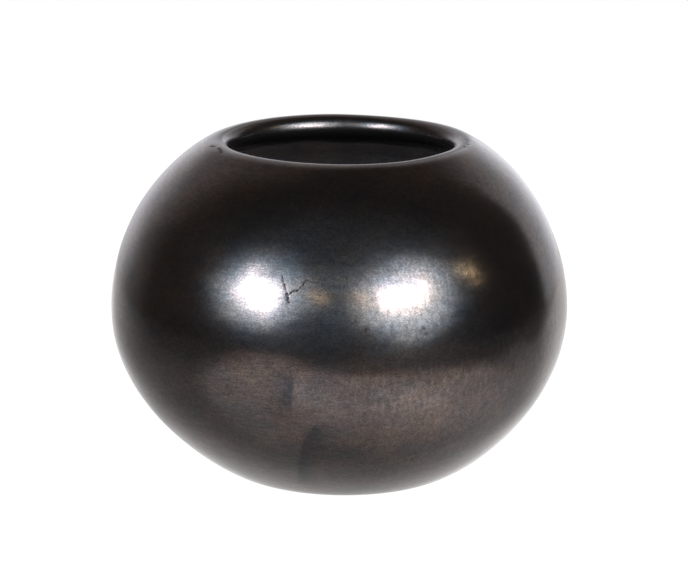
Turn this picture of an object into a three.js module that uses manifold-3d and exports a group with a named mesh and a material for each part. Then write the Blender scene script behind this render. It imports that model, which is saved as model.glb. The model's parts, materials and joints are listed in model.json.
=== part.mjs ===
// A hand-built blackware bowl: a globular, close-mouthed vessel of coiled, burnished, smoke-blackened clay.
// It is put together as a potter builds it: a pressed base, rings of coiled rope lapped one inside the
// other, and a thicker rim coil rolled to a rounded lip.
// Millimetres, +Z up. The origin is on the table under the belly's axis, and the front faces -Y.

import * as THREE from "three";
import { mergeVertices } from "three/addons/utils/BufferGeometryUtils.js";
import Module from "manifold-3d";

// Outside of the globe
const BELLY_DIAMETER = 140; // widest girth
const BELLY_HEIGHT = 50.8; // height of the widest girth
const TOTAL_HEIGHT = 103.2; // crest of the lip
const FOOT_DIAMETER = 64; // flat that stands on the table
const MOUTH_DIAMETER = 68; // narrowest place inside the lip
const LIP_SLOPE = THREE.MathUtils.degToRad(31); // slope of the shoulder where the lip begins

// How full the wall's curves are, as the lengths of their handles
const FOOT_FLARE = 5.8;
const UNDERBELLY_FULLNESS = 30;
const SHOULDER_FULLNESS = 21;
const NECK_FULLNESS = 19.7;
const FLOOR_FULLNESS = 25;
const FLOOR_CORNER_FULLNESS = 14.5;

// Thickness of the clay
const WALL_THICKNESS = 6;
const FLOOR_THICKNESS = 7;
const LIP_THICKNESS = 8;
const LIP_REACH = 6; // how far the rounding of the lip reaches past the wall
const LIP_TAPER = 18; // length of wall over which it thickens to the lip

// Pieces of clay, measured along the outside of the wall
const BASE_WALL = 30; // wall raised with the pressed base
const RIM_COIL_WALL = 10; // wall made by the rim coil, below its lip
const COIL_COUNT = 8; // rings of rope between the base and the rim coil

// Joints
const COIL_LAP = 4; // how far each coil laps down inside the one below
const SLIP_FILM = 0.3; // film of wet clay in every joint
const ROPE_LAP_ANGLE = THREE.MathUtils.degToRad(40); // slant of the cut where a rope's ends meet
const FIRST_ROPE_LAP = THREE.MathUtils.degToRad(70); // where the first rope's ends meet, round from +X
const ROPE_LAP_STAGGER = THREE.MathUtils.degToRad(100); // from one coil's lap to the next

// Unevenness of the hand
const FOOT_DRIFT = 1.7; // foot off the belly's axis, towards +X
const LIP_DRIFT = 0.5; // lip off the belly's axis, towards +X
const LIP_DIP = 0.15; // how much lower the lip is on its +X side, and higher on its -X side

// Fineness of the round forms
const ROUND_STEPS = 64;
const COIL_STEPS = 3;
const BASE_STEPS = 7;
const FLOOR_STEPS = 7;
const LIP_STEPS = 10;

const wasm = await Module();
wasm.setup();

const bellyRadius = BELLY_DIAMETER / 2;
const lipHalf = LIP_THICKNESS / 2;

// Directions along the wall and square to it where the lip begins, in section (x radius, y height)
const upTheNeck = new THREE.Vector2(-Math.cos(LIP_SLOPE), Math.sin(LIP_SLOPE));
const outOfNeck = new THREE.Vector2(Math.sin(LIP_SLOPE), Math.cos(LIP_SLOPE));

// Middle of the oval lip, placed so that it just reaches the mouth's diameter and the total height
const lipCentre = new THREE.Vector2(
  MOUTH_DIAMETER / 2 + Math.hypot(LIP_REACH * upTheNeck.x, lipHalf * outOfNeck.x),
  TOTAL_HEIGHT - Math.hypot(LIP_REACH * upTheNeck.y, lipHalf * outOfNeck.y),
);

// The wall's outside in section, from the edge of the foot to where the lip begins (x radius, y height).
function outsideOfWall() {
  const foot = new THREE.Vector2(FOOT_DIAMETER / 2, 0);
  const belly = new THREE.Vector2(bellyRadius, BELLY_HEIGHT);
  const lipStart = lipCentre.clone().addScaledVector(outOfNeck, lipHalf);
  const wall = new THREE.CurvePath();
  wall.add(
    new THREE.CubicBezierCurve(
      foot,
      new THREE.Vector2(foot.x + FOOT_FLARE, 0),
      new THREE.Vector2(bellyRadius, BELLY_HEIGHT - UNDERBELLY_FULLNESS),
      belly,
    ),
  );
  wall.add(
    new THREE.CubicBezierCurve(
      belly,
      new THREE.Vector2(bellyRadius, BELLY_HEIGHT + SHOULDER_FULLNESS),
      lipStart.clone().addScaledVector(upTheNeck, -NECK_FULLNESS),
      lipStart,
    ),
  );
  return wall;
}

const outside = outsideOfWall();
const wallLength = outside.getLength();

// The wall is even, and thickens smoothly to the lip.
function thicknessAt(along) {
  const towardsLip = THREE.MathUtils.smoothstep(along, wallLength - LIP_TAPER, wallLength);
  return THREE.MathUtils.lerp(WALL_THICKNESS, LIP_THICKNESS, towardsLip);
}

function outerPoint(along) {
  return outside.getPoint(along / wallLength);
}

function innerPoint(along) {
  const upWall = outside.getTangent(along / wallLength);
  const inwards = new THREE.Vector2(-upWall.y, upWall.x);
  return outerPoint(along).addScaledVector(inwards, thicknessAt(along));
}

// Points along one face of the wall, from one place to another.
function stretch(pointAt, from, to, steps) {
  return Array.from({ length: steps + 1 }, (_, i) => pointAt(THREE.MathUtils.lerp(from, to, i / steps)));
}

// A joint slants down through the wall, so its film takes up more than its own thickness along the wall.
const filmAlongWall = (SLIP_FILM * Math.hypot(WALL_THICKNESS, COIL_LAP)) / WALL_THICKNESS;
const courseLength = (wallLength - BASE_WALL - RIM_COIL_WALL) / COIL_COUNT;

// Places of the joints along the outside of the wall. A piece below ends half a film short of one, and
// the piece above starts half a film past it.
const jointAt = (index) => BASE_WALL + index * courseLength;
const endsBelow = (index) => jointAt(index) - filmAlongWall / 2;
const startsAbove = (index) => jointAt(index) + filmAlongWall / 2;

// The floor's upper face, from the middle of the bowl to the base's joint.
function floorCurve() {
  const top = endsBelow(0) - COIL_LAP;
  const corner = innerPoint(top);
  const upWall = outside.getTangent(top / wallLength);
  return new THREE.CubicBezierCurve(
    new THREE.Vector2(0, FLOOR_THICKNESS),
    new THREE.Vector2(FLOOR_FULLNESS, FLOOR_THICKNESS),
    corner.clone().addScaledVector(upWall, -FLOOR_CORNER_FULLNESS),
    corner,
  );
}

function baseProfile() {
  return [
    new THREE.Vector2(0, 0),
    ...stretch(outerPoint, 0, endsBelow(0), BASE_STEPS),
    ...floorCurve().getSpacedPoints(FLOOR_STEPS).reverse(),
  ];
}

function coilProfile(index) {
  const from = startsAbove(index);
  const to = endsBelow(index + 1);
  const ring = [
    ...stretch(outerPoint, from, to, COIL_STEPS),
    ...stretch(innerPoint, to - COIL_LAP, from - COIL_LAP, COIL_STEPS),
  ];
  return [...ring, ring[0]];
}

// The lip is half an oval, from the outside of the wall, over the crest, to the inside.
function rimProfile() {
  const from = startsAbove(COIL_COUNT);
  const lip = new THREE.EllipseCurve(
    lipCentre.x,
    lipCentre.y,
    lipHalf,
    LIP_REACH,
    0,
    Math.PI,
    false,
    Math.PI / 2 - LIP_SLOPE,
  );
  const ring = [
    ...stretch(outerPoint, from, wallLength, COIL_STEPS).slice(0, -1),
    ...lip.getPoints(LIP_STEPS),
    ...stretch(innerPoint, wallLength, from - COIL_LAP, COIL_STEPS).slice(1),
  ];
  return [...ring, ring[0]];
}

// A geometry as a solid, with its shared corners merged and the slivers at the axis left out.
function solidOf(geometry) {
  geometry.deleteAttribute("normal");
  geometry.deleteAttribute("uv");
  const merged = mergeVertices(geometry);
  const corners = merged.index.array;
  const triVerts = [];
  for (let i = 0; i < corners.length; i += 3) {
    const [a, b, c] = corners.slice(i, i + 3);
    if (a !== b && b !== c && c !== a) triVerts.push(a, b, c);
  }
  return new wasm.Manifold(
    new wasm.Mesh({
      numProp: 3,
      vertProperties: merged.attributes.position.array,
      triVerts: new Uint32Array(triVerts),
    }),
  );
}

function revolve(profile) {
  const turned = new THREE.LatheGeometry(profile, ROUND_STEPS);
  turned.rotateX(Math.PI / 2);
  return solidOf(turned);
}

// The slanted film where the two ends of a ring's rope meet: a thin blade through the wall on one side.
function ropeLap(profile, turn) {
  const section = new THREE.Box2().setFromPoints(profile);
  const middle = section.getCenter(new THREE.Vector2());
  const size = section.getSize(new THREE.Vector2());
  const reach = size.x + 2 * WALL_THICKNESS;
  const length = 2 * (size.y / Math.sin(ROPE_LAP_ANGLE) + WALL_THICKNESS);
  const blade = new THREE.BoxGeometry(reach, length, SLIP_FILM);
  blade.rotateX(ROPE_LAP_ANGLE);
  blade.translate(middle.x, 0, middle.y);
  blade.rotateZ(turn);
  return solidOf(blade);
}

// The hand's unevenness, the same for every piece: the foot and lip lie off the axis, and the lip dips.
function shapeByHand(position) {
  for (let i = 0; i < position.count; i++) {
    const x = position.getX(i);
    const z = position.getZ(i);
    const below = Math.max(0, 1 - z / BELLY_HEIGHT) ** 2;
    const above = Math.max(0, (z - BELLY_HEIGHT) / (TOTAL_HEIGHT - BELLY_HEIGHT)) ** 2;
    position.setX(i, x + FOOT_DRIFT * below + LIP_DRIFT * above);
    position.setZ(i, z - (LIP_DIP * above * x) / lipCentre.x);
  }
}

const burnishedClay = new THREE.MeshStandardMaterial({
  name: "burnished_blackware",
  color: 0x1a1918,
  roughness: 0.28,
  metalness: 0,
});

function pieceOfClay(name, solid) {
  const { vertProperties, triVerts } = solid.getMesh();
  const geometry = new THREE.BufferGeometry();
  geometry.setAttribute("position", new THREE.Float32BufferAttribute(vertProperties, 3));
  geometry.setIndex(new THREE.Uint32BufferAttribute(triVerts, 1));
  shapeByHand(geometry.attributes.position);
  geometry.computeVertexNormals();
  const piece = new THREE.Mesh(geometry, burnishedClay.clone());
  piece.name = name;
  return piece;
}

// A ring of rope, with its ends cut on the slant.
function ropeRing(name, profile, order) {
  const lap = ropeLap(profile, FIRST_ROPE_LAP + order * ROPE_LAP_STAGGER);
  return pieceOfClay(name, revolve(profile).subtract(lap));
}

const bowl = new THREE.Group();
bowl.name = "blackware_bowl";
bowl.add(pieceOfClay("pressed_base", revolve(baseProfile())));
for (let i = 0; i < COIL_COUNT; i++) {
  bowl.add(ropeRing(`wall_coil_${i + 1}`, coilProfile(i), i));
}
bowl.add(ropeRing("rim_coil", rimProfile(), COIL_COUNT));

export default bowl;
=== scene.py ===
"""Dresses a hand-built blackware bowl and sets it in a plain white studio.

The bowl is modelled as it was built. One section of its wall is traced and spun to a globe, the hand's
unevenness and the flaws of the firing are worked into the skin, and the skin is cut along the lapped joints
into the pressed base, the wall coils and the rim coil. Sizes are in millimetres and angles in degrees.
Meshes, lights and the camera are in metres.
"""

import json
import logging
import math
from dataclasses import dataclass, field
from enum import Enum
from typing import Any

import bpy
import numpy as np
from mathutils import Matrix, Vector

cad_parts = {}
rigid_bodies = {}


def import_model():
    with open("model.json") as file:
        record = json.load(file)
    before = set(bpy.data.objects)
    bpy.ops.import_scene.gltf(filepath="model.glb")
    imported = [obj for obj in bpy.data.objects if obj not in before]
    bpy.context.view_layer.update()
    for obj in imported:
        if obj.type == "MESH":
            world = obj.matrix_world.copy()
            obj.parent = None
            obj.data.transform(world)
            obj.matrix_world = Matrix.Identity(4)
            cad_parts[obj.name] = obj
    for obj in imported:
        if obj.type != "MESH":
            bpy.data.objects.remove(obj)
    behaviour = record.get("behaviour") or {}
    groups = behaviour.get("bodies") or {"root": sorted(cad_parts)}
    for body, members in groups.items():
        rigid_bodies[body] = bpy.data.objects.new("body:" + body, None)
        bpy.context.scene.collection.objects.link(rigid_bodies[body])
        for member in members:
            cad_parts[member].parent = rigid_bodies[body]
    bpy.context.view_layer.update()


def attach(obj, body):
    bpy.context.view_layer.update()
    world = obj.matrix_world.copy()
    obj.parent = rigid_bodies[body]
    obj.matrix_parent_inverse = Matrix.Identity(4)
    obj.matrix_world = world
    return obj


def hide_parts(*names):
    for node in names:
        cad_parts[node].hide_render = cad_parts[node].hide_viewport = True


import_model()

MM = 0.001
LOG = logging.getLogger("blackware_bowl")

# Inputs of a Mix node for colours, by number because its kinds of data share their names
MIX_FACTOR = 0
MIX_FROM = 6
MIX_TO = 7

# A place in the frame, in millimetres
Place = tuple[float, float, float]


class Stretch(Enum):
    """Stretches of the wall's section, each with the spacing of its rings."""

    FOOT = 2.4
    OUTSIDE = 0.6
    LIP = 0.4
    INSIDE = 1.2
    FLOOR = 1.6


class PatchShape(Enum):
    """Outline of a pale part of the room."""

    BOX = "box"
    OVAL = "oval"


class Pick(Enum):
    """What is selected in edit mode, as the select mode's switches."""

    EDGES = (False, True, False)
    FACES = (False, False, True)


def linear(hex_colour: str) -> tuple[float, float, float, float]:
    """Turns an sRGB hex colour into linear light.

    Args:
        hex_colour: The colour as "#rrggbb".

    Returns:
        Red, green, blue and an alpha of 1.
    """
    channels = [int(hex_colour[i : i + 2], 16) / 255 for i in (1, 3, 5)]
    red, green, blue = [c / 12.92 if c <= 0.04045 else ((c + 0.055) / 1.055) ** 2.4 for c in channels]
    return red, green, blue, 1.0


def add_node(
    tree: bpy.types.NodeTree, kind: str, inputs: dict[str | int, Any] | None = None, **settings: Any
) -> bpy.types.Node:
    """Adds a node with its settings and links.

    Args:
        tree: The node tree that takes the node.
        kind: The node's type, without the "ShaderNode" that they all begin with.
        inputs: What goes into its inputs, by name or number: values, sockets, or nodes that stand for the
            first of their outputs in use.
        settings: Values for the node's own properties.

    Returns:
        The new node.
    """
    node = tree.nodes.new(f"ShaderNode{kind}")
    for name, value in settings.items():
        setattr(node, name, value)
    for key, value in (inputs or {}).items():
        if isinstance(value, bpy.types.Node):
            value = next(output for output in value.outputs if output.enabled)
        if isinstance(value, bpy.types.NodeSocket):
            tree.links.new(value, node.inputs[key])
        else:
            node.inputs[key].default_value = value
    return node


def smoothstep(values: np.ndarray, low: float | np.ndarray, high: float | np.ndarray) -> np.ndarray:
    """Rises smoothly from 0 at low to 1 at high."""
    t = np.clip((values - low) / (high - low), 0, 1)
    return t * t * (3 - 2 * t)


def bezier(
    start: np.ndarray, leave: np.ndarray, arrive: np.ndarray, end: np.ndarray, steps: int
) -> np.ndarray:
    """Traces a cubic curve.

    Args:
        start: First point.
        leave: Handle that the curve leaves towards.
        arrive: Handle that the curve arrives from.
        end: Last point.
        steps: Number of steps.

    Returns:
        The points, one a row.
    """
    t = np.linspace(0, 1, steps + 1)[:, None]
    return (1 - t) ** 3 * start + 3 * (1 - t) ** 2 * t * leave + 3 * (1 - t) * t**2 * arrive + t**3 * end


def running_length(line: np.ndarray) -> np.ndarray:
    """Gives the length of a line up to each of its points."""
    return np.concatenate([[0.0], np.cumsum(np.linalg.norm(np.diff(line, axis=0), axis=1))])


@dataclass(frozen=True)
class Globe:
    """Sizes of the bowl's wall and of the pieces of clay that make it.

    A fullness is the length of a curve's handle. The lip's oval runs as far round as lip_face_from.
    """

    belly_diameter: float = 140.0
    belly_height: float = 50.8
    total_height: float = 103.2
    foot_diameter: float = 64.0
    mouth_diameter: float = 68.0
    lip_slope: float = 31.0
    foot_flare: float = 5.8
    underbelly_fullness: float = 30.0
    shoulder_fullness: float = 21.0
    neck_fullness: float = 19.7
    floor_fullness: float = 25.0
    floor_corner_fullness: float = 14.5
    wall_thickness: float = 6.0
    floor_thickness: float = 7.0
    lip_thickness: float = 8.0
    lip_reach: float = 6.0
    lip_face_from: float = 97.0
    lip_face_fullness: float = 3.2
    lip_inside_fullness: float = 3.2
    lip_taper: float = 18.0
    base_wall: float = 30.0
    rim_coil_wall: float = 10.0
    coil_count: int = 8
    coil_lap: float = 4.0

    @property
    def lip_half(self) -> float:
        """Half of the lip's thickness."""
        return self.lip_thickness / 2

    @property
    def up_the_neck(self) -> np.ndarray:
        """Direction of the wall where the lip begins, in section."""
        slope = math.radians(self.lip_slope)
        return np.array([-math.cos(slope), math.sin(slope)])

    @property
    def out_of_neck(self) -> np.ndarray:
        """Direction square to the wall where the lip begins, in section."""
        inwards, upwards = self.up_the_neck
        return np.array([upwards, -inwards])

    @property
    def lip_centre(self) -> np.ndarray:
        """Middle of the lip in section, placed so that it reaches the mouth and the full height."""
        shape = self.lip_shape()
        return np.array([self.mouth_diameter / 2 - shape[:, 0].min(), self.total_height - shape[:, 1].max()])

    def lip_shape(self, steps: int = 200) -> np.ndarray:
        """Traces the lip about its middle, from the outside of the wall to the inside.

        An oval runs over the crest. A blunter face goes on from it, leans over the mouth and turns inside.

        Args:
            steps: Number of steps in each of the two.

        Returns:
            Radius and height from the middle, one point a row.
        """
        out, onwards = self.lip_half * self.out_of_neck, self.lip_reach * self.up_the_neck
        turn = np.radians(np.linspace(0, self.lip_face_from, steps + 1))[:, None]
        crest = np.cos(turn) * out + np.sin(turn) * onwards
        run = np.cos(turn[-1]) * onwards - np.sin(turn[-1]) * out
        leave = crest[-1] + self.lip_face_fullness * run / np.linalg.norm(run)
        face = bezier(crest[-1], leave, self.lip_inside_fullness * self.up_the_neck - out, -out, steps)
        return np.vstack([crest, face[1:]])

    def outside(self, steps: int = 2000) -> np.ndarray:
        """Traces the outside of the wall, from the edge of the foot to where the lip begins.

        Args:
            steps: Number of steps in each of its two curves.

        Returns:
            Radius and height, one point a row.
        """
        foot = np.array([self.foot_diameter / 2, 0.0])
        belly = np.array([self.belly_diameter / 2, self.belly_height])
        lip_start = self.lip_centre + self.lip_half * self.out_of_neck
        neck_handle = lip_start - self.neck_fullness * self.up_the_neck
        foot_handle = foot + np.array([self.foot_flare, 0.0])
        up = np.array([0.0, 1.0])
        below = bezier(foot, foot_handle, belly - self.underbelly_fullness * up, belly, steps)
        above = bezier(belly, belly + self.shoulder_fullness * up, neck_handle, lip_start, steps)
        return np.vstack([below, above[1:]])


class WallSection:
    """The wall in section: one line from the middle of the foot, over the lip, to the middle of the floor.

    The line has a ring of the skin at every whole station, and finer points between the rings.
    """

    # Fine steps from ring to ring, the fewest rings in a stretch, and a length short enough to be straight
    FINE = 8
    LEAST_RINGS = 2
    STRAIGHT = 0.1

    def __init__(self, globe: Globe) -> None:
        """Traces the section of a globe.

        Args:
            globe: Sizes of the wall.
        """
        self.globe = globe
        self._wall = globe.outside()
        self._along = running_length(self._wall)
        self.wall_length = float(self._along[-1])
        coiled = self.wall_length - globe.base_wall - globe.rim_coil_wall
        self.course_length = coiled / globe.coil_count
        self.joints = [globe.base_wall + i * self.course_length for i in range(globe.coil_count + 1)]
        self.outer_cuts: list[float] = []
        self.inner_cuts: list[float] = []
        self._lip_end = 0
        self.points = self._trace()
        self.length = running_length(self.points)
        tangent = np.gradient(self.points, self.length, axis=0)
        tangent /= np.linalg.norm(tangent, axis=1)[:, None]
        self.normals = np.column_stack([tangent[:, 1], -tangent[:, 0]])
        crest = int(np.argmax(self.points[:, 1]))
        mouth = crest + int(np.argmin(self.points[crest : self._lip_end, 0]))
        self.mouth_length = float(self.length[mouth])
        self.stations = np.arange(len(self.points)) / self.FINE

    def outer(self, along: np.ndarray) -> np.ndarray:
        """Gives points on the outside, at lengths along it from the foot."""
        return np.column_stack([np.interp(along, self._along, self._wall[:, i]) for i in (0, 1)])

    def inner(self, along: np.ndarray) -> np.ndarray:
        """Gives the points on the inside that lie across the wall from the outside's.

        Args:
            along: Lengths along the outside, from the foot.

        Returns:
            Radius and height, one point a row.
        """
        globe = self.globe
        slope = np.gradient(self._wall, self._along, axis=0)
        tangent = np.column_stack([np.interp(along, self._along, slope[:, i]) for i in (0, 1)])
        tangent /= np.linalg.norm(tangent, axis=1)[:, None]
        towards_lip = smoothstep(along, self.wall_length - globe.lip_taper, self.wall_length)
        thickness = globe.wall_thickness + (globe.lip_thickness - globe.wall_thickness) * towards_lip
        return self.outer(along) + thickness[:, None] * np.column_stack([-tangent[:, 1], tangent[:, 0]])

    def _fine_steps(self, length: float, stretch: Stretch) -> int:
        """Number of fine steps in a stretch, a whole number of rings."""
        return self.FINE * max(self.LEAST_RINGS, round(length / stretch.value))

    def _trace(self) -> np.ndarray:
        """Strings the stretches of the section together and notes where the joints cut them.

        Returns:
            Radius and height, one point a row.
        """
        globe = self.globe
        foot_radius = globe.foot_diameter / 2
        foot_steps = self._fine_steps(foot_radius, Stretch.FOOT)
        line = [np.column_stack([np.linspace(0, foot_radius, foot_steps + 1), np.zeros(foot_steps + 1)])]
        steps_so_far = foot_steps

        ends = [0.0, *self.joints, self.wall_length]
        for low, high in zip(ends, ends[1:]):
            steps = self._fine_steps(high - low, Stretch.OUTSIDE)
            line.append(self.outer(np.linspace(low, high, steps + 1))[1:])
            steps_so_far += steps
            self.outer_cuts.append(steps_so_far / self.FINE)
        self.outer_cuts.pop()

        quarter_oval = math.pi * (globe.lip_half + globe.lip_reach) / 4
        steps = self._fine_steps(quarter_oval, Stretch.LIP)
        line.append(globe.lip_centre + globe.lip_shape(steps)[1:])
        steps_so_far += 2 * steps
        self._lip_end = steps_so_far

        ends = [self.wall_length, *[j - globe.coil_lap for j in reversed(self.joints)]]
        for high, low in zip(ends, ends[1:]):
            steps = self._fine_steps(high - low, Stretch.INSIDE)
            line.append(self.inner(np.linspace(high, low, steps + 1))[1:])
            steps_so_far += steps
            self.inner_cuts.insert(0, steps_so_far / self.FINE)

        corner_along = self.joints[0] - globe.coil_lap
        corner, just_above = self.inner(np.array([corner_along, corner_along + self.STRAIGHT]))
        up_wall = (just_above - corner) / np.linalg.norm(just_above - corner)
        middle = np.array([0.0, globe.floor_thickness])
        reach = np.array([globe.floor_fullness, globe.floor_thickness])
        steps = self._fine_steps(corner[0], Stretch.FLOOR)
        line.append(bezier(corner, corner - globe.floor_corner_fullness * up_wall, reach, middle, steps)[1:])
        return np.vstack(line)

    def rings(self) -> np.ndarray:
        """Gives the points of the section that become rings of the skin."""
        return self.points[:: self.FINE]

    def at(self, stations: np.ndarray) -> tuple[np.ndarray, np.ndarray, np.ndarray]:
        """Looks up places on the section.

        Args:
            stations: Places on the section, counted in rings.

        Returns:
            Points, normals, and how far each lies past the narrowest place of the mouth.
        """
        points = np.column_stack([np.interp(stations, self.stations, self.points[:, i]) for i in (0, 1)])
        normals = np.column_stack([np.interp(stations, self.stations, self.normals[:, i]) for i in (0, 1)])
        past_mouth = np.interp(stations, self.stations, self.length) - self.mouth_length
        return points, normals, past_mouth

    def course_of(self, stations: np.ndarray) -> np.ndarray:
        """Tells which piece of clay each place belongs to: 0 is the base, the last is the rim coil.

        Args:
            stations: Places on the section, counted in rings.

        Returns:
            The number of the piece, for each place.
        """
        from_outside = np.searchsorted(self.outer_cuts, stations)
        from_inside = len(self.inner_cuts) - np.searchsorted(self.inner_cuts[::-1], stations)
        return np.minimum(from_outside, from_inside)


@dataclass(frozen=True)
class Ripple:
    """One scale of unevenness in the skin.

    Attributes:
        depth: How far it swells and sinks.
        around: Length of its waves round the pot.
        up: Length of its waves up the pot.
    """

    depth: float
    around: float
    up: float


@dataclass(frozen=True)
class Unevenness:
    """Swellings of the skin, as a sum of waves in many directions.

    Attributes:
        ripples: The scales of the waves.
        seed: Start of the random draws.
        waves: Number of waves in each scale.
        spread: Fewest and most waves to the length of a scale.
    """

    ripples: tuple[Ripple, ...]
    seed: int
    waves: int = 24
    spread: tuple[float, float] = (0.75, 1.35)

    def swell(self, points: np.ndarray) -> np.ndarray:
        """Gives how far the skin stands out or sinks in.

        Args:
            points: Points on the skin, one a row.

        Returns:
            The swelling at each point.
        """
        random = np.random.default_rng(self.seed)
        swelling = np.zeros(len(points))
        for ripple in self.ripples:
            size = ripple.depth * math.sqrt(2 / self.waves)
            lengths = np.array([ripple.around, ripple.around, ripple.up])
            for _ in range(self.waves):
                direction = random.normal(size=3)
                direction /= np.linalg.norm(direction)
                turns = random.uniform(*self.spread) * direction / lengths
                start = random.uniform(0, 1)
                swelling += size * np.sin(2 * math.pi * (points @ turns + start))
        return swelling


@dataclass(frozen=True)
class HandUnevenness:
    """How far the hand left the globe from true."""

    belly_height: float
    total_height: float
    lip_radius: float
    foot_drift: float = 1.7
    lip_drift: float = 0.5
    lip_dip: float = 0.15
    skin: Unevenness = Unevenness(
        ripples=(
            Ripple(depth=0.07, around=46.0, up=38.0),
            Ripple(depth=0.018, around=22.0, up=11.0),
            Ripple(depth=0.004, around=9.0, up=4.0),
        ),
        seed=7,
    )

    def lean(self, points: np.ndarray) -> np.ndarray:
        """Moves the foot and lip off the belly's axis and dips the lip to one side.

        Args:
            points: Points on the true globe, one a row.

        Returns:
            The points where the hand left them.
        """
        x, y, z = points.T
        below = np.maximum(0, 1 - z / self.belly_height) ** 2
        above = np.maximum(0, (z - self.belly_height) / (self.total_height - self.belly_height)) ** 2
        drifted = x + self.foot_drift * below + self.lip_drift * above
        dipped = z - self.lip_dip * above * x / self.lip_radius
        return np.column_stack([drifted, y, dipped])


@dataclass(frozen=True)
class Flaw:
    """A crack, pit or scar where the firing or use opened the skin.

    Attributes:
        path: Points that it runs through. A pit has one.
        width: How far it reaches to each side.
        depth: How deep it is.
        rawness: How much raw brown clay it shows, from 0 to 1.
    """

    path: tuple[Place, ...]
    width: float
    depth: float
    rawness: float

    def distance(self, points: np.ndarray) -> np.ndarray:
        """Gives each point's distance from the flaw's path.

        Args:
            points: Points on the skin, one a row.

        Returns:
            The distances.
        """
        stops = np.array(self.path)
        nearest = np.linalg.norm(points - stops[0], axis=1)
        for start, end in zip(stops, stops[1:]):
            run = end - start
            t = np.clip((points - start) @ run / (run @ run), 0, 1)
            nearest = np.minimum(nearest, np.linalg.norm(points - start - t[:, None] * run, axis=1))
        return nearest


@dataclass(frozen=True)
class PaintedDarkReflection:
    """A painted reflection of dark things in front of the bowl: a darker patch, sharp along one edge and
    fading away from it.

    Attributes:
        edge: Points of the sharp edge from the top down, as turn from the front and height.
        fade: How far the patch reaches from the edge: to the right, or to the left where it is negative.
        strength: How dark it is at the edge, from 0 to 1.
        sharpness: Width over which the edge comes up.
        end_fade: Height over which the patch's ends come up.
    """

    edge: tuple[tuple[float, float], ...]
    fade: float
    strength: float
    sharpness: float = 0.6
    end_fade: float = 2.0

    def cover(self, points: np.ndarray, girth_radius: float) -> np.ndarray:
        """Gives how strongly the patch covers each point.

        Args:
            points: Points on the skin, one a row.
            girth_radius: Radius on which a turn is measured as a length.

        Returns:
            The cover, from 0 to the patch's strength.
        """
        x, y, height = points.T
        turns, heights = np.array(self.edge)[::-1].T
        off_edge = np.arctan2(x, -y) - np.interp(height, heights, np.radians(turns))
        beyond = math.copysign(girth_radius, self.fade) * off_edge
        risen = smoothstep(beyond, -self.sharpness, self.sharpness)
        left = 1 - smoothstep(beyond, 0, abs(self.fade))
        above_foot = smoothstep(height, heights[0] - self.end_fade, heights[0] + self.end_fade)
        below_top = 1 - smoothstep(height, heights[-1] - self.end_fade, heights[-1] + self.end_fade)
        return self.strength * (y < 0) * risen * left * above_foot * below_top


def pick(piece: bpy.types.Object, kind: Pick, chosen: np.ndarray) -> None:
    """Enters edit mode on one piece, with only the chosen faces or edges selected.

    Args:
        piece: The mesh object.
        kind: Whether faces or edges are chosen.
        chosen: True for each chosen one.
    """
    mesh = piece.data
    bpy.ops.object.select_all(action="DESELECT")
    piece.select_set(True)
    bpy.context.view_layer.objects.active = piece
    bpy.context.tool_settings.mesh_select_mode = kind.value
    for parts in (mesh.vertices, mesh.edges, mesh.polygons):
        parts.foreach_set("select", np.zeros(len(parts), dtype=bool))
    if kind is Pick.FACES:
        mesh.polygons.foreach_set("select", chosen)
    else:
        mesh.edges.foreach_set("select", chosen)
        ends = np.zeros(len(mesh.vertices), dtype=bool)
        ends[read(mesh.edges, "vertices", 2, np.int32)[chosen].ravel()] = True
        mesh.vertices.foreach_set("select", ends)
    bpy.ops.object.mode_set(mode="EDIT")


def read(parts: Any, name: str, width: int, kind: type = np.float32) -> np.ndarray:
    """Reads one property of all parts of a mesh.

    Args:
        parts: A collection of the mesh, such as its vertices.
        name: The property.
        width: How many numbers each part has.
        kind: Type of the numbers.

    Returns:
        One row a part, or a flat array where the width is 1.
    """
    values = np.empty(len(parts) * width, dtype=kind)
    parts.foreach_get(name, values)
    return values if width == 1 else values.reshape(-1, width)


def mark(mesh: bpy.types.Mesh, name: str, values: np.ndarray) -> None:
    """Keeps a number for each point of a mesh in a named attribute."""
    mesh.attributes.new(name, "FLOAT", "POINT").data.foreach_set("value", values.astype(np.float32))


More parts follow.
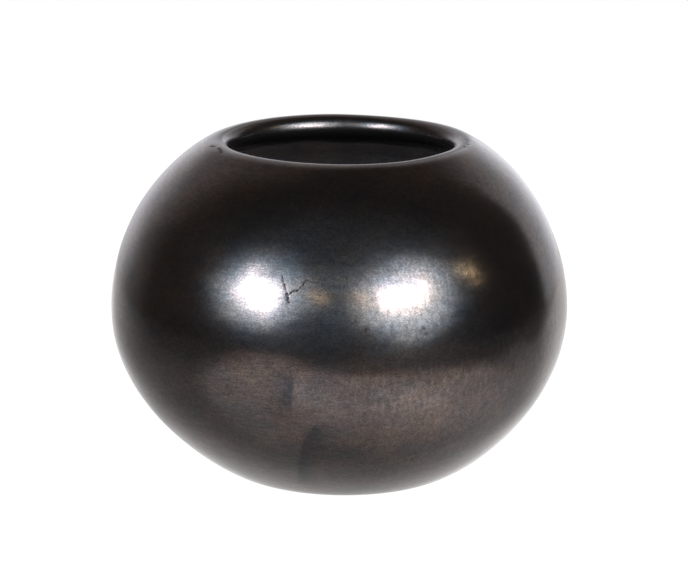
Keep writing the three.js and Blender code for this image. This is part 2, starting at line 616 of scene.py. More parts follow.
@dataclass
class ClaySkin:
    """The whole skin of the bowl, before it is cut into its pieces."""

    section: WallSection
    hand: HandUnevenness
    flaws: tuple[Flaw, ...]
    painted_dark_reflections: tuple[PaintedDarkReflection, ...]
    spokes: int = 420
    weld: float = 0.002

    # Where the skin is cut finer: up to a share of the outside's stations, round a flaw as far as some of
    # its widths and a margin, and from a cover of the painted dark reflection
    fine_cuts: int = 3
    fine_stations: float = 1.2
    fine_widths: float = 2.2
    fine_margin: float = 1.4
    fine_dark_reflection: float = 0.02

    # The ripples rise from the flat foot. The fingers' ridges come up past the mouth and end over the floor
    ripples_rise: float = 3.0
    finger_ridge: float = 0.22
    ridges_past_mouth: tuple[float, float] = (6.0, 16.0)
    ridges_above: float = 12.0

    # The flaws are ragged at their edges and end inside the mouth
    ragged_edge: Unevenness = Unevenness(ripples=(Ripple(depth=0.1, around=1.1, up=1.1),), seed=23)
    flaws_past_mouth: float = 4.0

    # The polish is duller on the lip and ends past the mouth on a line of waves: number, share and start
    polish_depth: float = 7.5
    polish_waver: float = 1.8
    polish_waves: tuple[tuple[int, float, float], ...] = ((1, 1.0, 2.6), (5, 0.5, 1.0), (13, 0.3, 0.0))
    polish_fade: float = 4.0
    lip_dullness: float = 0.13

    # Closer stations are the same, and a face over more stations lies across the wall
    STATION_ROUNDING = 0.001
    FACE_STATIONS = 3

    @property
    def _girth_radius(self) -> float:
        """Radius on which turns round the pot are measured as lengths."""
        return self.section.globe.belly_diameter / 2

    def build(self) -> bpy.types.Object:
        """Traces the section, spins it to a globe and works the hand and the flaws into it.

        Returns:
            The skin, with what the finish needs to know in its attributes.
        """
        skin = self._trace()
        self._spin(skin)
        self._refine(skin)
        self._shape(skin)
        return skin

    def _trace(self) -> bpy.types.Object:
        """Draws the section as a line of edges, each point marked with its station.

        Returns:
            The object that holds the line.
        """
        rings = self.section.rings() * MM
        bpy.ops.object.select_all(action="DESELECT")
        bpy.ops.mesh.primitive_plane_add(size=MM)
        line = bpy.context.object
        line.name = "clay_skin"
        bpy.ops.object.mode_set(mode="EDIT")
        bpy.ops.mesh.merge(type="CENTER")
        for start, end in zip(rings, rings[1:]):
            step = (end[0] - start[0], 0.0, end[1] - start[1])
            bpy.ops.mesh.extrude_vertices_move(TRANSFORM_OT_translate={"value": step})
        bpy.ops.object.mode_set(mode="OBJECT")
        traced = read(line.data.vertices, "co", 3)[:, (0, 2)]
        nearest = np.linalg.norm(traced[:, None] - rings[None], axis=2).argmin(axis=1)
        mark(line.data, "station", nearest)
        return line

    def _spin(self, skin: bpy.types.Object) -> None:
        """Spins the section round the pot's axis and closes the seam and the poles.

        Args:
            skin: The traced section, which becomes the skin.
        """
        spin = skin.modifiers.new("spin", "SCREW")
        spin.axis = "Z"
        spin.angle = 2 * math.pi
        spin.steps = self.spokes
        spin.render_steps = self.spokes
        bpy.ops.object.modifier_apply(modifier=spin.name)
        bpy.ops.object.mode_set(mode="EDIT")
        bpy.ops.mesh.select_all(action="SELECT")
        bpy.ops.mesh.remove_doubles(threshold=self.weld * MM)
        bpy.ops.mesh.normals_make_consistent(inside=False)
        bpy.ops.object.mode_set(mode="OBJECT")

    def _refine(self, skin: bpy.types.Object) -> None:
        """Cuts the faces round the flaws and the painted dark reflections finer, so that their edges are
        crisp.

        Args:
            skin: The spun skin.
        """
        centres = read(skin.data.polygons, "center", 3) / MM
        chosen = np.zeros(len(centres), dtype=bool)
        for flaw in self.flaws:
            chosen |= flaw.distance(centres) < self.fine_widths * flaw.width + self.fine_margin
        for painted_patch in self.painted_dark_reflections:
            chosen |= painted_patch.cover(centres, self._girth_radius) > self.fine_dark_reflection
        lowest, highest = self._face_stations(skin.data)
        outside = (lowest + highest) / 2 < self.fine_stations * self.section.outer_cuts[-1]
        pick(skin, Pick.FACES, chosen & outside)
        bpy.ops.mesh.subdivide(number_cuts=self.fine_cuts)
        bpy.ops.object.mode_set(mode="OBJECT")

    def _face_stations(self, mesh: bpy.types.Mesh) -> tuple[np.ndarray, np.ndarray]:
        """Reads between which stations the faces of a mesh lie.

        Args:
            mesh: A mesh cut from the skin.

        Returns:
            The lowest and the highest station of each face.
        """
        corners = read(mesh.loops, "vertex_index", 1, np.int32)
        stations = read(mesh.attributes["station"].data, "value", 1)[corners]
        starts = read(mesh.polygons, "loop_start", 1, np.int32)
        return np.minimum.reduceat(stations, starts), np.maximum.reduceat(stations, starts)

    def _shape(self, skin: bpy.types.Object) -> None:
        """Sets every point of the skin on the section, then leans, ripples, scars and polishes it.

        Args:
            skin: The spun skin, which is marked with what the finish needs to know.
        """
        mesh = skin.data
        stations = read(mesh.attributes["station"].data, "value", 1)
        rough_place = read(mesh.vertices, "co", 3)
        turn = np.arctan2(rough_place[:, 1], rough_place[:, 0])
        flat_points, flat_normals, past_mouth = self.section.at(stations)
        height = flat_points[:, 1]
        points, normals = [
            np.column_stack([flat[:, 0] * np.cos(turn), flat[:, 0] * np.sin(turn), flat[:, 1]])
            for flat in (flat_points, flat_normals)
        ]
        points = self.hand.lean(points)

        swelling = self.hand.skin.swell(points) * smoothstep(points[:, 2], 0.0, self.ripples_rise)
        ridges = np.sin(2 * math.pi * height / self.section.course_length) * (height > self.ridges_above)
        swelling += self.finger_ridge * smoothstep(past_mouth, *self.ridges_past_mouth) * ridges

        ragged = self.ragged_edge.swell(points)
        rawness = np.zeros(len(points))
        for flaw in self.flaws:
            reach = np.maximum(0, flaw.distance(points) + ragged) / flaw.width
            sink = np.exp(-(reach**2)) * (past_mouth < self.flaws_past_mouth)
            swelling -= flaw.depth * sink
            rawness = np.maximum(rawness, flaw.rawness * sink)
        points += swelling[:, None] * normals

        # Painted reflection: darker patches on the outside below the mouth, standing in for dark things
        # mirrored from in front of the bowl
        covers = [painted_patch.cover(points, self._girth_radius) for painted_patch in self.painted_dark_reflections]
        dark_reflection_paint = np.max(covers, axis=0) * (past_mouth < 0)
        waves = sum(share * np.sin(number * turn + start) for number, share, start in self.polish_waves)
        polish_end = self.polish_depth + self.polish_waver * waves
        dulled = self.lip_dullness * smoothstep(past_mouth, -self.polish_depth, 0)
        polish = (1 - dulled) * (1 - smoothstep(past_mouth, polish_end, polish_end + self.polish_fade))

        mesh.vertices.foreach_set("co", (points * MM).astype(np.float32).ravel())
        mesh.update()
        for name, values in {"rawness": rawness, "dark_reflection_paint": dark_reflection_paint, "polish": polish}.items():
            mark(mesh, name, values)
        facing = read(mesh.vertex_normals, "vector", 3)
        mesh.attributes.new("facing", "FLOAT_VECTOR", "POINT").data.foreach_set("vector", facing.ravel())

    def cut(self, skin: bpy.types.Object, course: int) -> bpy.types.Object:
        """Cuts one piece of clay out of the skin.

        Args:
            skin: What is left of the skin.
            course: The number of the piece, from the base up.

        Returns:
            The piece, still open at its joints.
        """
        lowest, highest = self._face_stations(skin.data)
        chosen = self.section.course_of((lowest + highest) / 2) == course
        if chosen.all():
            return skin
        before = set(bpy.data.objects)
        pick(skin, Pick.FACES, chosen)
        bpy.ops.mesh.separate(type="SELECTED")
        bpy.ops.object.mode_set(mode="OBJECT")
        return (set(bpy.data.objects) - before).pop()

    def close_joint(self, piece: bpy.types.Object, joint: int) -> None:
        """Bridges the open edges of a piece across the wall at one joint.

        Args:
            piece: The piece of clay.
            joint: The number of the joint, from the base up.
        """
        mesh = piece.data
        station = read(mesh.attributes["station"].data, "value", 1)
        ends = station[read(mesh.edges, "vertices", 2, np.int32)]
        cuts = (self.section.outer_cuts[joint], self.section.inner_cuts[joint])
        on_cut = [np.all(np.abs(ends - cut) < self.STATION_ROUNDING, axis=1) for cut in cuts]
        pick(piece, Pick.EDGES, np.any(on_cut, axis=0))
        bpy.ops.mesh.bridge_edge_loops()
        bpy.ops.object.mode_set(mode="OBJECT")

    def smooth(self, piece: bpy.types.Object) -> None:
        """Shades a piece as part of the whole skin, so that no joint shows, with its joint faces crisp.

        Args:
            piece: The piece of clay, with its joints closed.
        """
        bpy.ops.object.select_all(action="DESELECT")
        piece.select_set(True)
        bpy.context.view_layer.objects.active = piece
        bpy.ops.object.shade_smooth()
        mesh = piece.data
        lowest, highest = self._face_stations(mesh)
        totals = read(mesh.polygons, "loop_total", 1, np.int32)
        across_wall = np.repeat(highest - lowest > self.FACE_STATIONS, totals)
        face_normals = np.repeat(read(mesh.polygons, "normal", 3), totals, axis=0)
        corners = read(mesh.loops, "vertex_index", 1, np.int32)
        facing = read(mesh.attributes["facing"].data, "vector", 3)[corners]
        mesh.normals_split_custom_set(np.where(across_wall[:, None], face_normals, facing).tolist())


@dataclass(frozen=True)
class Grain:
    """One scale of a finish's pattern.

    Attributes:
        around: Size of its spots round the pot.
        up: Size of its spots up the pot.
        swing: How far the shine swings between its bright and dull spots, as a share.
        height: How far its spots stand out.
        detail: How many finer scales it holds.
    """

    around: float
    up: float
    swing: float = 0.0
    height: float = 0.0
    detail: float = 2.0


@dataclass(frozen=True)
class BurnishedBlackware:
    """Smoke-fired clay, slipped and rubbed with a stone until it shines: a near-black, waxy gloss.

    The carbon in the skin makes it mirror more than bare clay would, and browner. The stone leaves fine
    strokes, upright ones on the right of the front, and a leathery grain that breaks the shine up. The real
    strokes and grain are finer, and are drawn as coarse as they need to be to show. Below the mouth the
    inside is only scraped, so it is matt.
    """

    soot_black: str = "#060606"
    scraped_black: str = "#1f1c1b"
    raw_clay: str = "#211a19"
    brown_sheen: str = "#ffdfd0"
    ash_sheen: str = "#f6e9ea"
    # Duller sheen of the painted dark reflection
    dark_reflection_sheen: str = "#a9a4b0"
    raw_sheen: str = "#2e2926"
    ior: float = 1.9
    roughness: float = 0.18
    stroke_roughness: float = 0.04
    scraped_roughness: float = 0.8

    # Rawness from which the skin grows rough
    raw_from: float = 0.4
    grains: tuple[Grain, ...] = (
        Grain(around=34.0, up=20.0, swing=0.3),
        Grain(around=11.0, up=6.5, swing=0.3, detail=3.0),
        Grain(around=2.2, up=1.4, swing=0.3),
        Grain(around=0.55, up=0.4, swing=0.68, height=0.0004),
    )
    strokes: Grain = Grain(around=4.5, up=0.42, swing=0.38, height=0.0005)
    upright_strokes: Grain = Grain(around=1.1, up=4.0)

    # Where the strokes turn upright, towards the right, and the range of noise that a grain spreads out
    upright_from: float = -6.0
    upright_to: float = 12.0
    noise_low: float = 0.3
    noise_high: float = 0.7

    def make(self) -> bpy.types.Material:
        """Builds the material.

        Returns:
            The material, which reads the skin's polish, painted dark reflection and rawness.
        """
        material = bpy.data.materials.new("burnished_blackware")
        material.use_nodes = True
        tree = material.node_tree
        tree.nodes.clear()
        place = add_node(tree, "TexCoord").outputs["Object"]
        marks: dict[str, Any] = {}
        for name in ("polish", "dark_reflection_paint", "rawness"):
            marks[name] = add_node(tree, "Attribute", attribute_name=name).outputs["Fac"]
        spots = []
        for grain in (*self.grains, self.strokes, self.upright_strokes):
            per_metre = [1 / (size * MM) for size in (grain.around, grain.around, grain.up)]
            scaled = add_node(tree, "Mapping", {"Vector": place, "Scale": per_metre})
            noise = add_node(tree, "TexNoise", {"Vector": scaled, "Scale": 1.0, "Detail": grain.detail})
            spread = {"Value": noise, "From Min": self.noise_low, "From Max": self.noise_high}
            spots.append(add_node(tree, "MapRange", spread))

        # The stone's strokes go round the pot, and turn upright on the right
        right = add_node(tree, "SeparateXYZ", {"Vector": place}).outputs["X"]
        turned = {"Value": right, "From Min": self.upright_from * MM, "From Max": self.upright_to * MM}
        upright = add_node(tree, "MapRange", turned)
        up_stroke = spots.pop()
        round_stroke = spots.pop()
        strokes = add_node(tree, "MapRange", {"Value": upright, "To Min": round_stroke, "To Max": up_stroke})
        spots.append(strokes)

        # Every grain takes some of the shine and stands out a little
        mirror: Any = 1.0
        relief = None
        for grain, spot in zip((*self.grains, self.strokes), spots):
            bright, dull = 1 + grain.swing / 2, 1 - grain.swing / 2
            share = add_node(tree, "MapRange", {"Value": spot, "To Min": bright, "To Max": dull})
            mirror = add_node(tree, "Math", {0: mirror, 1: share}, operation="MULTIPLY")
            if grain.height:
                under = {} if relief is None else {"Normal": relief}
                raised = {"Height": spot, "Distance": grain.height * MM, "Strength": 1.0}
                relief = add_node(tree, "Bump", raised | under)

        # Colours, each laid over the one before where its mark is. What the skin mirrors is brown with
        # clouds of ash grey, duller under the painted dark reflection and dullest on raw clay
        marks["ash"] = spots[1]
        sheens = {"ash": self.ash_sheen, "dark_reflection_paint": self.dark_reflection_sheen, "rawness": self.raw_sheen}
        clays = {"polish": self.soot_black, "rawness": self.raw_clay}
        tints = []
        for first, layers in ((self.brown_sheen, sheens), (self.scraped_black, clays)):
            tint: Any = linear(first)
            for name, over in layers.items():
                laid = {MIX_FACTOR: marks[name], MIX_FROM: tint, MIX_TO: linear(over)}
                tint = add_node(tree, "Mix", laid, data_type="RGBA")
            tints.append(tint)
        sheen, colour = tints
        sheen = add_node(tree, "VectorMath", {0: sheen, "Scale": mirror}, operation="SCALE")

        # Shine: rougher along some strokes, and matt where the clay is only scraped or raw
        smoothest = self.roughness - self.stroke_roughness / 2
        roughest = self.roughness + self.stroke_roughness / 2
        matt = self.scraped_roughness
        shine = add_node(tree, "MapRange", {"Value": strokes, "To Min": smoothest, "To Max": roughest})
        shine = add_node(tree, "MapRange", {"Value": marks["polish"], "To Min": matt, "To Max": shine})
        raw = {"Value": marks["rawness"], "From Min": self.raw_from, "To Min": shine, "To Max": matt}
        shine = add_node(tree, "MapRange", raw)

        skin = {"Base Color": colour, "Roughness": shine, "IOR": self.ior, "Specular Tint": sheen}
        shader = add_node(tree, "BsdfPrincipled", skin | {"Normal": relief})
        add_node(tree, "OutputMaterial", {"Surface": shader})
        return material


@dataclass(frozen=True)
class WhitePaper:
    """Matt white paper in strong light: the camera sees it burnt out, with hardly a shadow.

    The bowl mirrors it with painted light: a glow painted on in pools, standing in for the light that falls
    on it.
    """

    sheet: str = "#fbfafa"
    burnt_out: float = 1.12
    shade_kept: float = 0.12
    roughness: float = 0.9

    def make(self) -> bpy.types.Material:
        """Builds the material.

        Returns:
            The material, which reads the painted light of the sheet.
        """
        material = bpy.data.materials.new("white_paper")
        material.use_nodes = True
        tree = material.node_tree
        tree.nodes.clear()
        painted_light = add_node(tree, "Attribute", attribute_name="painted_light").outputs["Fac"]
        # What the bowl mirrors is painted light: the sheet glows by its painted pools, though it is no lamp
        painted_light_shader = add_node(tree, "Emission", {"Color": linear(self.sheet), "Strength": painted_light})
        matt = {"Base Color": linear(self.sheet), "Roughness": self.roughness, "Specular IOR Level": 0.0}
        lit = add_node(tree, "BsdfPrincipled", matt)
        white = add_node(tree, "Emission", {"Strength": self.burnt_out})
        seen = add_node(tree, "MixShader", {0: 1 - self.shade_kept, 1: lit, 2: white})
        by_camera = add_node(tree, "LightPath").outputs["Is Camera Ray"]
        shader = add_node(tree, "MixShader", {0: by_camera, 1: painted_light_shader, 2: seen})
        add_node(tree, "OutputMaterial", {"Surface": shader})
        return material


@dataclass(frozen=True)
class PaintedLightPool:
    """A painted pool of light on the paper: a glowing oval with a soft edge.

    Attributes:
        brightness: What it adds to the paper, where white paper in good light is 1.
        middle: Where it lies.
        length: Half of its length.
        width: Half of its width.
        turn: Direction of its length, from +X towards +Y.
        fade: Share of its size over which it ends.
    """

    brightness: float
    middle: tuple[float, float]
    length: float
    width: float
    turn: float
    fade: float

    def light(self, places: np.ndarray) -> np.ndarray:
        """Gives what the pool adds at each place.

        Args:
            places: Places on the paper, one a row.

        Returns:
            The brightness added.
        """
        x, y = (places - self.middle).T
        cos, sin = math.cos(math.radians(self.turn)), math.sin(math.radians(self.turn))
        off = np.hypot((x * cos + y * sin) / self.length, (y * cos - x * sin) / self.width)
        return self.brightness * (1 - smoothstep(off, 1 - self.fade, 1 + self.fade))


@dataclass(frozen=True)
class PaperSheet:
    """The sheet that the bowl stands on, with the light that falls on it painted on in pools."""

    finish: WhitePaper = field(default_factory=WhitePaper)
    size: float = 840.0
    cells: int = 168
    # Painted shade: how brightly the paper glows away from the painted pools of light
    painted_shade_level: float = 0.125
    painted_pools: tuple[PaintedLightPool, ...] = (
        # Painted pools of light round the foot, before the bowl, and on its left
        PaintedLightPool(0.83, (8.0, 2.0), 55.0, 37.0, 11.0, 0.6),
        PaintedLightPool(0.8, (5.0, -134.0), 74.0, 48.0, 48.0, 0.36),
        PaintedLightPool(0.84, (-130.0, -204.0), 108.0, 68.0, 63.0, 0.72),
        PaintedLightPool(0.4, (-65.0, -103.0), 70.0, 44.0, 14.0, 0.25),
        PaintedLightPool(0.07, (-115.0, -60.0), 130.0, 62.0, 10.0, 0.7),
        # On the right, near and far
        PaintedLightPool(0.62, (95.0, -101.0), 61.0, 57.0, 34.0, 0.55),
        PaintedLightPool(0.34, (120.0, -50.0), 122.0, 44.0, 25.0, 0.55),
        PaintedLightPool(0.17, (125.0, -255.0), 250.0, 140.0, -25.0, 0.7),
        # Behind: a hard edge on the right, a soft one on the left
        PaintedLightPool(0.16, (218.0, 261.0), 379.0, 150.0, 38.0, 0.12),
        PaintedLightPool(0.84, (133.0, 417.0), 253.0, 434.0, -20.0, 0.19),
        PaintedLightPool(0.74, (-195.0, 306.0), 270.0, 150.0, 126.0, 0.95),
    )

    def build(self) -> bpy.types.Object:
        """Lays the sheet and paints the pools of light over it.

        Returns:
            The sheet.
        """
        bpy.ops.object.select_all(action="DESELECT")
        cells = {"x_subdivisions": self.cells, "y_subdivisions": self.cells}
        bpy.ops.mesh.primitive_grid_add(size=self.size * MM, **cells)
        sheet = bpy.context.object
        sheet.name = "white_paper"
        places = read(sheet.data.vertices, "co", 3)[:, :2] / MM
        # The painted light of the sheet: the painted shade level with the painted pools added
        painted_light = self.painted_shade_level + sum(pool.light(places) for pool in self.painted_pools)
        mark(sheet.data, "painted_light", painted_light)
        sheet.data.materials.append(self.finish.make())
        return sheet


@dataclass
class ClayPiece:
    """One piece of clay, from joint to joint.

    Attributes:
        node: The node that it stands for.
        course: Its number, from the base up.
        joints: The numbers of the joints that close it.
    """

    node: str
    course: int
    joints: tuple[int, ...]

    def build(self, clay: ClaySkin, skin: bpy.types.Object) -> bpy.types.Object:
        """Cuts the piece from the skin, closes its joints and smooths it.

        Args:
            clay: How the skin is made and cut.
            skin: What is left of the skin.

        Returns:
            The piece.
        """
        piece = clay.cut(skin, self.course)
        piece.name = f"{self.node}_burnished"
        piece.data.name = piece.name
        for joint in self.joints:
            clay.close_joint(piece, joint)
        clay.smooth(piece)
        return piece

    def dress(self, piece: bpy.types.Object, finish: bpy.types.Material) -> None:
        """Gives the piece its finish and ties it to the node that it stands for.

        Args:
            piece: The built piece.
            finish: Its material.
        """
        piece.data.materials.clear()
        piece.data.materials.append(finish)
        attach(piece, "root")
        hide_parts(self.node)


@dataclass
class ClayBowl:
    """The bowl: a pressed base, wall coils and a rim coil, with the flaws that its skin has."""

    globe: Globe = field(default_factory=Globe)
    finish: BurnishedBlackware = field(default_factory=BurnishedBlackware)
    flaws: tuple[Flaw, ...] = (
        # A forked crack on the shoulder, left of the front
        Flaw(
            ((-16.4, -62.2, 76.0), (-15.8, -63.2, 74.2), (-15.2, -64.1, 72.3), (-14.8, -64.9, 70.4)),
            width=0.29,
            depth=0.02,
            rawness=0.9,
        ),
        Flaw(((-14.7, -65.1, 70.0), (-14.5, -65.5, 68.9)), 0.58, 0.02, 0.9),
        Flaw(
            ((-14.6, -65.0, 70.5), (-13.3, -64.8, 71.7), (-11.6, -64.9, 72.2), (-10.3, -64.8, 73.2)),
            width=0.3,
            depth=0.02,
            rawness=0.9,
        ),
        Flaw(((-10.3, -64.8, 73.2), (-9.7, -64.3, 74.5), (-9.1, -64.0, 75.2)), 0.34, 0.02, 0.9),
        Flaw(((-9.1, -64.0, 75.2), (-7.8, -64.4, 74.7), (-6.3, -64.6, 74.7)), 0.3, 0.02, 0.9),
        # Pits on the belly and the shoulder
        Flaw(((7.3, -68.8, 60.4), (7.9, -68.6, 61.5)), 0.6, 0.004, 0.9),
        Flaw(((24.5, -64.7, 60.8),), 0.55, 0.004, 0.8),
        Flaw(((25.2, -64.7, 59.1),), 0.6, 0.004, 0.8),
        Flaw(((50.8, -21.0, 90.5),), 0.65, 0.004, 0.7),
        Flaw(((48.1, -28.5, 89.4),), 0.55, 0.004, 0.6),
        Flaw(((21.6, -52.3, 17.9), (21.5, -51.9, 17.2)), 0.5, 0.004, 0.8),
        Flaw(((-32.4, -61.0, 42.4),), 0.5, 0.004, 0.7),
        Flaw(((-18.5, -56.1, 85.2),), 0.3, 0.004, 0.6),
        Flaw(((-13.3, -50.5, 93.4), (-12.3, -51.2, 93.0)), 0.7, 0.0, 0.22),
        # Scars rubbed into the lip
        Flaw(((-38.5, -9.9, 103.2), (-37.5, -11.7, 103.4)), 0.95, 0.04, 0.8),
        Flaw(((-36.2, -14.1, 103.3), (-35.5, -16.7, 103.2), (-35.1, -19.2, 103.0)), 0.95, 0.04, 0.8),
        Flaw(((39.0, -0.2, 102.6),), 0.85, 0.04, 0.8),
        Flaw(((38.9, -6.6, 102.7),), 0.75, 0.04, 0.8),
        Flaw(((37.8, -11.1, 102.7),), 0.85, 0.04, 0.8),
    )
    painted_dark_reflections: tuple[PaintedDarkReflection, ...] = (
        # Painted reflections of dark things in front of the bowl: a short one under the belly's girth, and a
        # longer one below it, down to the foot
        PaintedDarkReflection(((-10.7, 47.2), (-11.0, 42.5), (-11.6, 37.0)), fade=-9.0, strength=0.95, end_fade=3.0),
        PaintedDarkReflection(
            ((-6.1, 31.8), (-9.3, 26.7), (-11.6, 18.7), (-14.4, 10.5), (-16.0, 7.0)),
            fade=11.0,
            strength=0.85,
        ),
    )

    def pieces(self) -> list[ClayPiece]:
        """Lists the pieces of clay.

        Returns:
            The pieces, from the base up.
        """
        last = self.globe.coil_count
        coils = [ClayPiece(f"wall_coil_{i}", i, (i - 1, i)) for i in range(1, last + 1)]
        return [ClayPiece("pressed_base", 0, (0,)), *coils, ClayPiece("rim_coil", last + 1, (last,))]

    def build(self) -> list[bpy.types.Object]:
        """Makes the skin, cuts it into the pieces of clay and dresses them.

        Returns:
            The pieces, from the base up.
        """
        globe = self.globe
        hand = HandUnevenness(globe.belly_height, globe.total_height, globe.lip_centre[0])
        clay = ClaySkin(WallSection(globe), hand, self.flaws, self.painted_dark_reflections)
        finish = self.finish.make()
        skin = clay.build()
        built = []
        for part in self.pieces():
            piece = part.build(clay, skin)
            part.dress(piece, finish)
            LOG.info("%s: %d faces", piece.name, len(piece.data.polygons))
            built.append(piece)
        return built


@dataclass(frozen=True)
class Softbox:
    """A rectangular lamp with a white front, placed by its direction as seen from the bowl.

    Attributes:
        name: What it is called.
        turn: Direction round the bowl, from the front towards the right.
        rise: Direction above the horizon.
        distance: How far away it is, in metres.
        width: Width of its front, in metres.
        height: Height of its front, in metres.
        roll: How far it leans over to the side.
        radiance: How bright its front is, where white paper in the light of the room is 1.
        colour: Colour of its light.
    """

    name: str
    turn: float
    rise: float
    distance: float
    width: float
    height: float
    roll: float
    radiance: float
    colour: str

    def build(self, aim: Vector) -> bpy.types.Object:
        """Sets the lamp up.

        Args:
            aim: The point that it faces.

        Returns:
            The lamp.
        """
        turn, rise = math.radians(self.turn), math.radians(self.rise)
        away = Vector((math.sin(turn) * math.cos(rise), -math.cos(turn) * math.cos(rise), math.sin(rise)))
        bpy.ops.object.light_add(type="AREA", location=aim + away * self.distance)
        lamp = bpy.context.object
        lamp.name = self.name
        lamp.rotation_mode = "QUATERNION"
        facing = away.to_track_quat("Z", "Y")
        lamp.rotation_quaternion = facing @ Matrix.Rotation(math.radians(self.roll), 4, "Z").to_quaternion()
        lamp.visible_camera = False
        light = lamp.data
        light.shape = "RECTANGLE"
        light.size = self.width
        light.size_y = self.height
        light.color = linear(self.colour)[:3]
        light.energy = math.pi * self.width * self.height * self.radiance
        return lamp


@dataclass(frozen=True)
class PalePatch:
    """A pale part of the room, placed by its direction as seen from the bowl.

    Attributes:
        brightness: How bright it is, where white paper in good light is 1.
        turn: Direction of its middle round the bowl, from the front towards the right.
        rise: Direction of its middle above the horizon.
        width: Half of its width, as an angle.
        height: Half of its height, as an angle.
        fade: How softly its sides and its top and bottom end, as two angles. An oval takes the first.
        colour: Its colour.
        shape: Its outline.
    """

    brightness: float
    turn: float
    rise: float
    width: float
    height: float
    fade: tuple[float, float]
    colour: str
    shape: PatchShape = PatchShape.BOX

    def cover(
        self, tree: bpy.types.NodeTree, angles: tuple[bpy.types.Node, bpy.types.Node]
    ) -> bpy.types.Node:
        """Works out how fully the patch covers a direction.

        Args:
            tree: The node tree of the room.
            angles: The direction's turn and rise.

        Returns:
            The node that gives the cover, from 0 to 1.
        """
        off = []
        for angle, middle in zip(angles, (self.turn, self.rise)):
            away = add_node(tree, "Math", {0: angle, 1: math.radians(middle)}, operation="SUBTRACT")
            around = add_node(tree, "Math", {0: away, 1: -math.pi, 2: math.pi}, operation="WRAP")
            off.append(add_node(tree, "Math", {0: around}, operation="ABSOLUTE"))
        sizes = [math.radians(self.width), math.radians(self.height)]
        fades = [math.radians(fade) for fade in self.fade]
        if self.shape is PatchShape.OVAL:
            flat = add_node(tree, "CombineXYZ", {"X": off[0], "Y": off[1]})
            shares = add_node(tree, "VectorMath", {0: flat, 1: (*sizes, 1.0)}, operation="DIVIDE")
            off = [add_node(tree, "VectorMath", {0: shares}, operation="LENGTH")]
            fades = [fades[0] / sizes[0]]
            sizes = [1.0]
        cover: Any = 1.0
        for distance, reach, fade in zip(off, sizes, fades):
            edge = {"Value": distance, "From Min": reach + fade, "From Max": reach - fade}
            side = add_node(tree, "MapRange", edge, interpolation_type="SMOOTHSTEP")
            cover = add_node(tree, "Math", {0: cover, 1: side}, operation="MULTIPLY")
        return cover


@dataclass(frozen=True)
class Room:
    """The room round the bowl: dark, with pale patches, and white where the camera looks past the bowl."""

    dark: str = "#403a35"
    backdrop: str = "#ffffff"
    patches: tuple[PalePatch, ...] = (
        # White backdrops: a hard edge on the right, a soft one on the left, brightest straight behind
        PalePatch(0.85, 150.0, 2.0, 23.0, 27.5, (2.0, 28.0), "#f2f4fa"),
        PalePatch(0.28, -150.0, 18.0, 26.0, 34.0, (14.0, 28.0), "#f6f2f6"),
        PalePatch(0.34, -158.0, 8.0, 22.0, 13.0, (10.0, 8.0), "#f2f4fa"),
        PalePatch(0.8, 180.0, -8.0, 34.0, 20.0, (14.0, 14.0), "#f0f2fa"),
        PalePatch(0.3, 180.0, 32.0, 15.0, 18.0, (13.0, 14.0), "#f0f2fa"),
        # The glow round the softboxes, the room between and past them, and the table round the paper
        PalePatch(5.2, -42.0, 21.3, 21.4, 13.8, (11.3, 11.3), "#cbebff", PatchShape.OVAL),
        PalePatch(0.45, -42.0, 22.5, 26.0, 19.5, (16.0, 16.0), "#aee0ff", PatchShape.OVAL),
        PalePatch(6.0, 34.9, 19.5, 24.4, 18.4, (11.5, 11.5), "#daf2ff", PatchShape.OVAL),
        PalePatch(0.45, 34.5, 20.5, 30.0, 23.0, (15.5, 15.5), "#aee0ff", PatchShape.OVAL),
        PalePatch(0.48, -2.0, 20.5, 16.5, 17.0, (9.2, 9.2), "#c6e8ff", PatchShape.OVAL),
        PalePatch(0.14, -2.0, 28.0, 70.0, 37.0, (29.0, 29.0), "#a8daff", PatchShape.OVAL),
        PalePatch(0.075, 5.0, 43.0, 50.0, 25.0, (22.0, 18.0), "#dcecff"),
        PalePatch(0.08, 5.0, -20.0, 66.0, 24.0, (25.0, 12.0), "#b4daff"),
        PalePatch(0.04, -95.0, 14.0, 30.0, 22.0, (15.0, 16.0), "#ffe0c8"),
        # A warm ceiling behind
        PalePatch(0.07, 180.0, 50.0, 70.0, 22.0, (25.0, 10.0), "#e8bc98"),
    )

    def build(self) -> None:
        """Makes the scene's world.

        The patches add their light to the dark room. The camera sees only the white backdrop.
        """
        world = bpy.data.worlds.new("studio_room")
        bpy.context.scene.world = world
        world.use_nodes = True
        tree = world.node_tree
        tree.nodes.clear()
        direction = add_node(tree, "TexCoord").outputs["Generated"]
        axes = add_node(tree, "SeparateXYZ", {"Vector": direction}).outputs
        ahead = add_node(tree, "Math", {0: axes["Y"], 1: -1.0}, operation="MULTIPLY")
        turn = add_node(tree, "Math", {0: axes["X"], 1: ahead}, operation="ARCTAN2")
        rise = add_node(tree, "Math", {0: axes["Z"]}, operation="ARCSINE")
        light: Any = linear(self.dark)
        for patch in self.patches:
            bright = [patch.brightness * channel for channel in linear(patch.colour)[:3]]
            lit = {MIX_FACTOR: patch.cover(tree, (turn, rise)), MIX_FROM: light, MIX_TO: (*bright, 1.0)}
            light = add_node(tree, "Mix", lit, data_type="RGBA", blend_type="ADD")
        by_camera = add_node(tree, "LightPath").outputs["Is Camera Ray"]
        past_bowl = {MIX_FACTOR: by_camera, MIX_FROM: light, MIX_TO: linear(self.backdrop)}
        seen = add_node(tree, "Mix", past_bowl, data_type="RGBA")
        shown = add_node(tree, "Background", {"Color": seen})
        add_node(tree, "OutputWorld", {"Surface": shown})


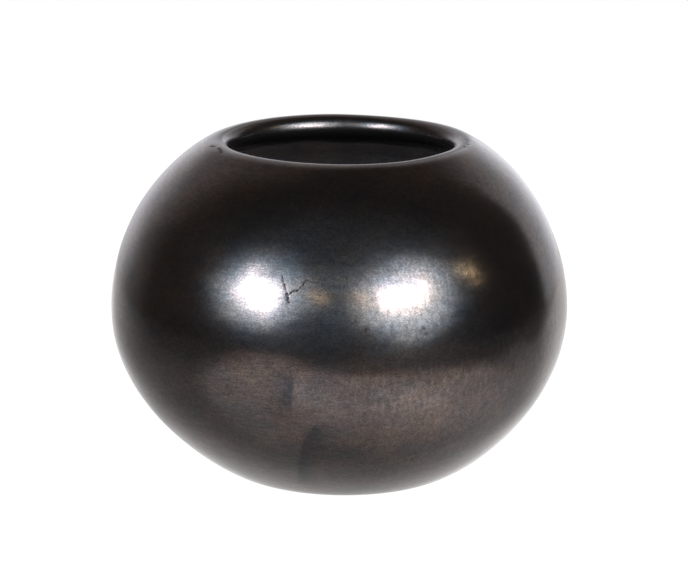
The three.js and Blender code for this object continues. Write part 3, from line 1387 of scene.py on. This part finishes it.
@dataclass(frozen=True)
class Viewpoint:
    """Where the camera stands, its lens and sensor, and the nearest that it sees."""

    aim: Place = (1.51, 1.46, 56.6)
    elevation: float = 14.2
    distance: float = 1000.0
    lens: float = 169.9
    sensor: float = 36.0
    nearest: float = 10.0

    def build(self) -> bpy.types.Object:
        """Sets up the camera.

        Returns:
            The camera.
        """
        rise = math.radians(self.elevation)
        back = Vector((0, -math.cos(rise), math.sin(rise)))
        bpy.ops.object.camera_add(location=(Vector(self.aim) + back * self.distance) * MM)
        camera = bpy.context.object
        camera.name = "studio_camera"
        camera.rotation_euler = (math.pi / 2 - rise, 0, 0)
        camera.data.lens = self.lens
        camera.data.sensor_width = self.sensor
        camera.data.clip_start = self.nearest * MM
        bpy.context.scene.camera = camera
        return camera


@dataclass
class Studio:
    """A sheet of white paper, two softboxes, three small warm lamps, the room round them and the camera."""

    room: Room = field(default_factory=Room)
    viewpoint: Viewpoint = field(default_factory=Viewpoint)
    paper: PaperSheet = field(default_factory=PaperSheet)
    aim: Place = (0.0, -30.0, 70.0)
    lamps: tuple[Softbox, ...] = (
        Softbox("left_softbox", -42.2, 20.5, 0.9, 0.355, 0.21, -23.0, 20.0, "#f4f6ff"),
        Softbox("right_softbox", 35.2, 21.6, 0.9, 0.425, 0.145, -2.3, 20.0, "#f8f8ff"),
        Softbox("right_softbox_foot", 33.0, 14.3, 0.92, 0.35, 0.095, -2.3, 9.0, "#fff2e0"),
        Softbox("lamp_far_right", 73.0, 21.6, 1.5, 0.32, 0.11, -40.0, 4.2, "#fff0c8"),
        Softbox("lamp_left_of_front", -12.2, 22.0, 1.5, 0.22, 0.11, 0.0, 4.4, "#ffe2a4"),
        Softbox("lamp_right_of_front", 10.2, 22.6, 1.5, 0.24, 0.14, 0.0, 2.2, "#ffe4bc"),
    )

    def build(self) -> None:
        """Lays the paper and sets up the lamps, the room and the camera.

        Colours are shown as they are, with no film look.
        """
        bpy.context.scene.view_settings.view_transform = "Standard"
        self.paper.build()
        for lamp in self.lamps:
            lamp.build(Vector(self.aim) * MM)
        self.room.build()
        self.viewpoint.build()


def main() -> None:
    """Builds the studio and the bowl, and reports each piece.
    """
    logging.basicConfig(level=logging.INFO, format="%(name)s: %(message)s")
    Studio().build()
    pieces = ClayBowl().build()
    LOG.info("%d pieces of clay", len(pieces))


if __name__ == "__main__":
    main()
